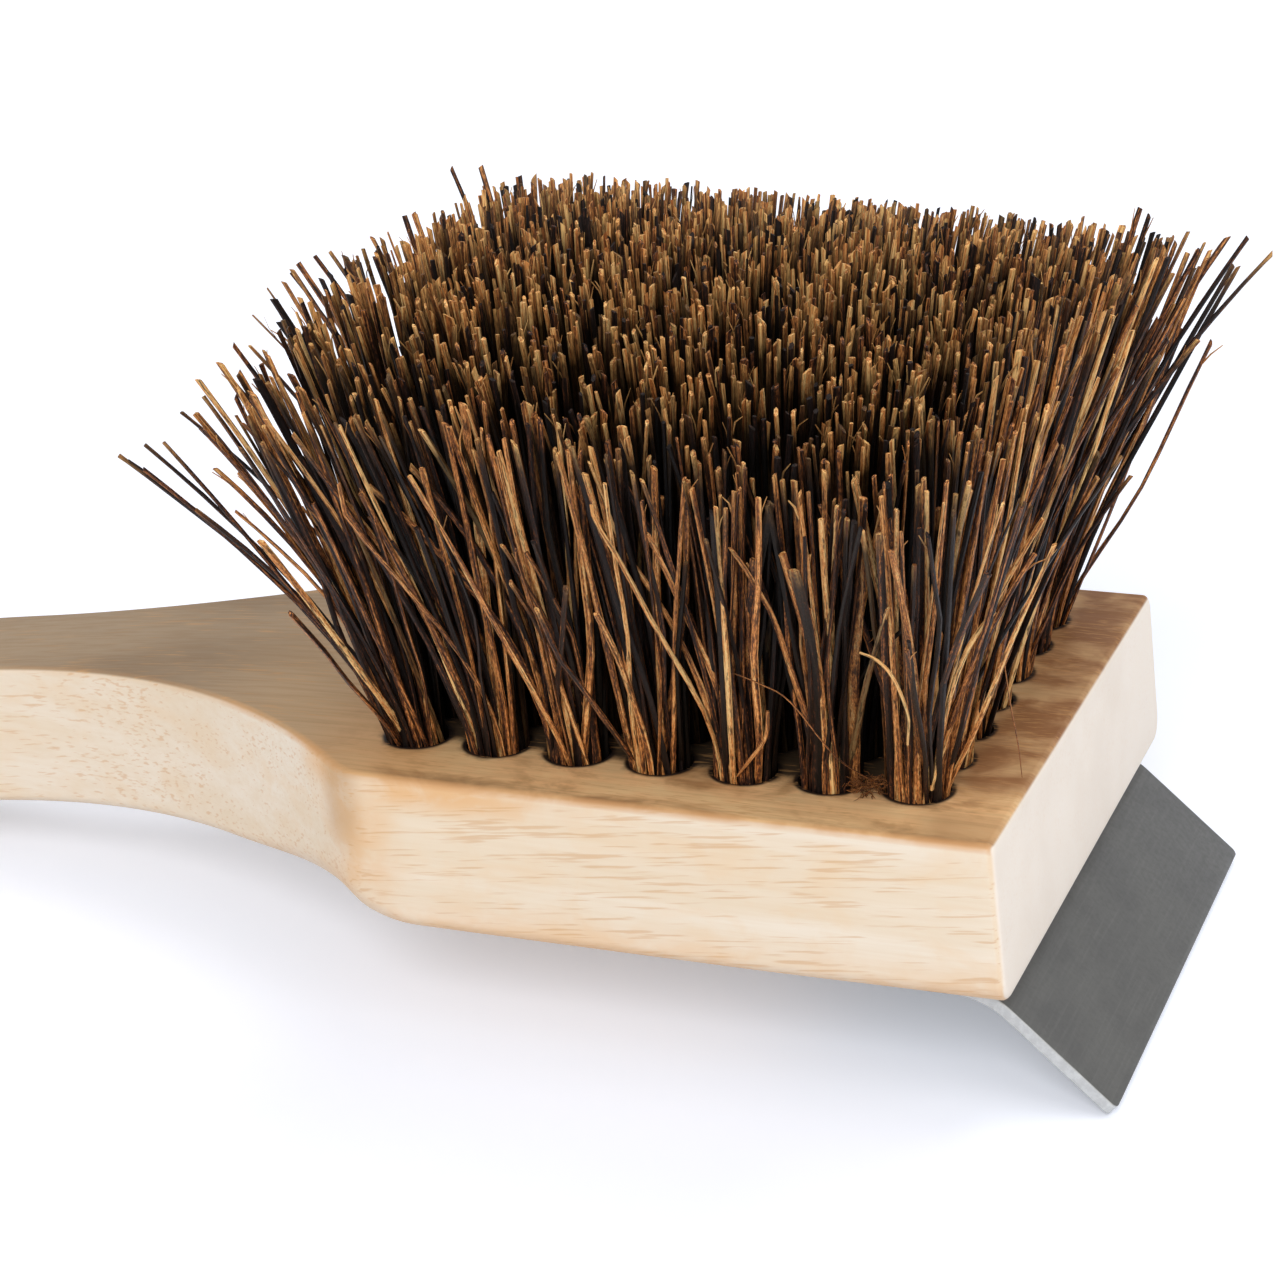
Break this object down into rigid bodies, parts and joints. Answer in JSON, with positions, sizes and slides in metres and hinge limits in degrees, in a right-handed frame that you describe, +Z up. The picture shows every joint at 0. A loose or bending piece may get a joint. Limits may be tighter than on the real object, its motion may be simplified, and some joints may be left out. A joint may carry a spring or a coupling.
{
  "type": "grill brush",
  "caption": "Long-handled wooden grill brush with a square head of stiff palm-fibre tufts and a bent steel scraper past its nose.",
  "frame": {"origin": "on the table, under the middle of the brush's box, with the brush lying on its back as it rests", "axes": "+X along the brush towards the scraper, +Y across it, +Z up, the way the bristles point"},
  "size_m": [0.4171, 0.1054, 0.0853],
  "materials": {
    "wood": "pale close-grained hardwood, sanded, unvarnished, with short brown pores",
    "palm_fibre": "stiff palm fibre, dark brown to black with golden streaks and cut tips",
    "blade_steel": "satin grey sheet, sheared edges",
    "screw_steel": "zinc plated"
  },
  "bodies": {
    "root": {"handle_block": "wood", "scraper_blade": "blade_steel", "scraper_screw_near": "screw_steel", "scraper_screw_far": "screw_steel", "bristle_tuft_r1c1": "palm_fibre", "bristle_tuft_r1c2": "palm_fibre", "bristle_tuft_r1c3": "palm_fibre", "bristle_tuft_r1c4": "palm_fibre", "bristle_tuft_r1c5": "palm_fibre", "bristle_tuft_r1c6": "palm_fibre", "bristle_tuft_r1c7": "palm_fibre", "bristle_tuft_r2c1": "palm_fibre", "bristle_tuft_r2c2": "palm_fibre", "bristle_tuft_r2c3": "palm_fibre", "bristle_tuft_r2c4": "palm_fibre", "bristle_tuft_r2c5": "palm_fibre", "bristle_tuft_r2c6": "palm_fibre", "bristle_tuft_r2c7": "palm_fibre", "bristle_tuft_r3c1": "palm_fibre", "bristle_tuft_r3c2": "palm_fibre", "bristle_tuft_r3c3": "palm_fibre", "bristle_tuft_r3c4": "palm_fibre", "bristle_tuft_r3c5": "palm_fibre", "bristle_tuft_r3c6": "palm_fibre", "bristle_tuft_r3c7": "palm_fibre", "bristle_tuft_r4c1": "palm_fibre", "bristle_tuft_r4c2": "palm_fibre", "bristle_tuft_r4c3": "palm_fibre", "bristle_tuft_r4c4": "palm_fibre", "bristle_tuft_r4c5": "palm_fibre", "bristle_tuft_r4c6": "palm_fibre", "bristle_tuft_r4c7": "palm_fibre", "bristle_tuft_r5c1": "palm_fibre", "bristle_tuft_r5c2": "palm_fibre", "bristle_tuft_r5c3": "palm_fibre", "bristle_tuft_r5c4": "palm_fibre", "bristle_tuft_r5c5": "palm_fibre", "bristle_tuft_r5c6": "palm_fibre", "bristle_tuft_r5c7": "palm_fibre", "bristle_tuft_r6c1": "palm_fibre", "bristle_tuft_r6c2": "palm_fibre", "bristle_tuft_r6c3": "palm_fibre", "bristle_tuft_r6c4": "palm_fibre", "bristle_tuft_r6c5": "palm_fibre", "bristle_tuft_r6c6": "palm_fibre", "bristle_tuft_r6c7": "palm_fibre", "bristle_tuft_r7c1": "palm_fibre", "bristle_tuft_r7c2": "palm_fibre", "bristle_tuft_r7c3": "palm_fibre", "bristle_tuft_r7c4": "palm_fibre", "bristle_tuft_r7c5": "palm_fibre", "bristle_tuft_r7c6": "palm_fibre", "bristle_tuft_r7c7": "palm_fibre"}
  },
  "joints": []
}
